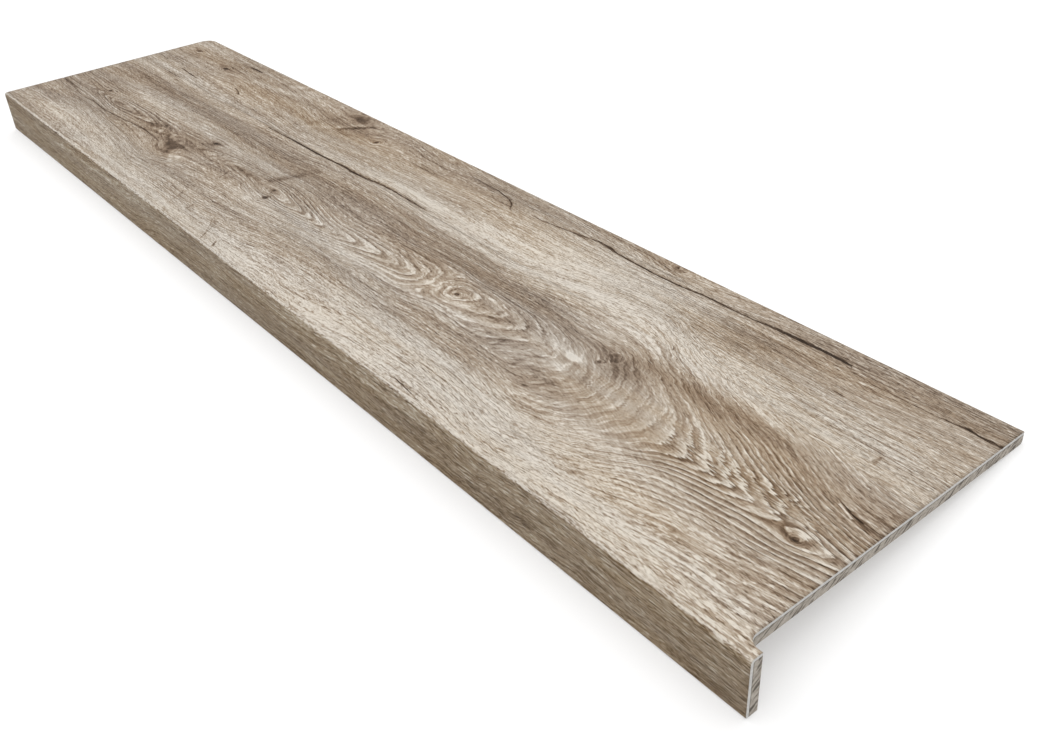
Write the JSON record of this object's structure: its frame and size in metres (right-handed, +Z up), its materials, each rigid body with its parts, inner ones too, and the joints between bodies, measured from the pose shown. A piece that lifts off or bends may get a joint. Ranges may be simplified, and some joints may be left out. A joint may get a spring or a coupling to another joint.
{
  "type": "stair tread",
  "caption": "Nosed renovation stair tread: thin core board with a lip along its front edge, under one wood-look wear sheet wrapped round the nose; right end set back behind the lip.",
  "frame": {"origin": "on the floor, at the centre of the tread's bounding box seen from above", "axes": "+Z up from the floor it rests on, +X along the tread towards the set-back end, +Y from the lip towards the back edge; the tread leans back on its lip and lower back edge"},
  "size_m": [1.3, 0.304, 0.0505],
  "materials": {
    "core_board": "sawn, matte",
    "core_strip": "sawn, matte",
    "wood_look_sheet": "embossed weathered oak grain, matte"
  },
  "bodies": {
    "root": {"tread_board": "core_board", "nose_strip": "core_strip", "wear_sheet": "wood_look_sheet"}
  },
  "joints": []
}
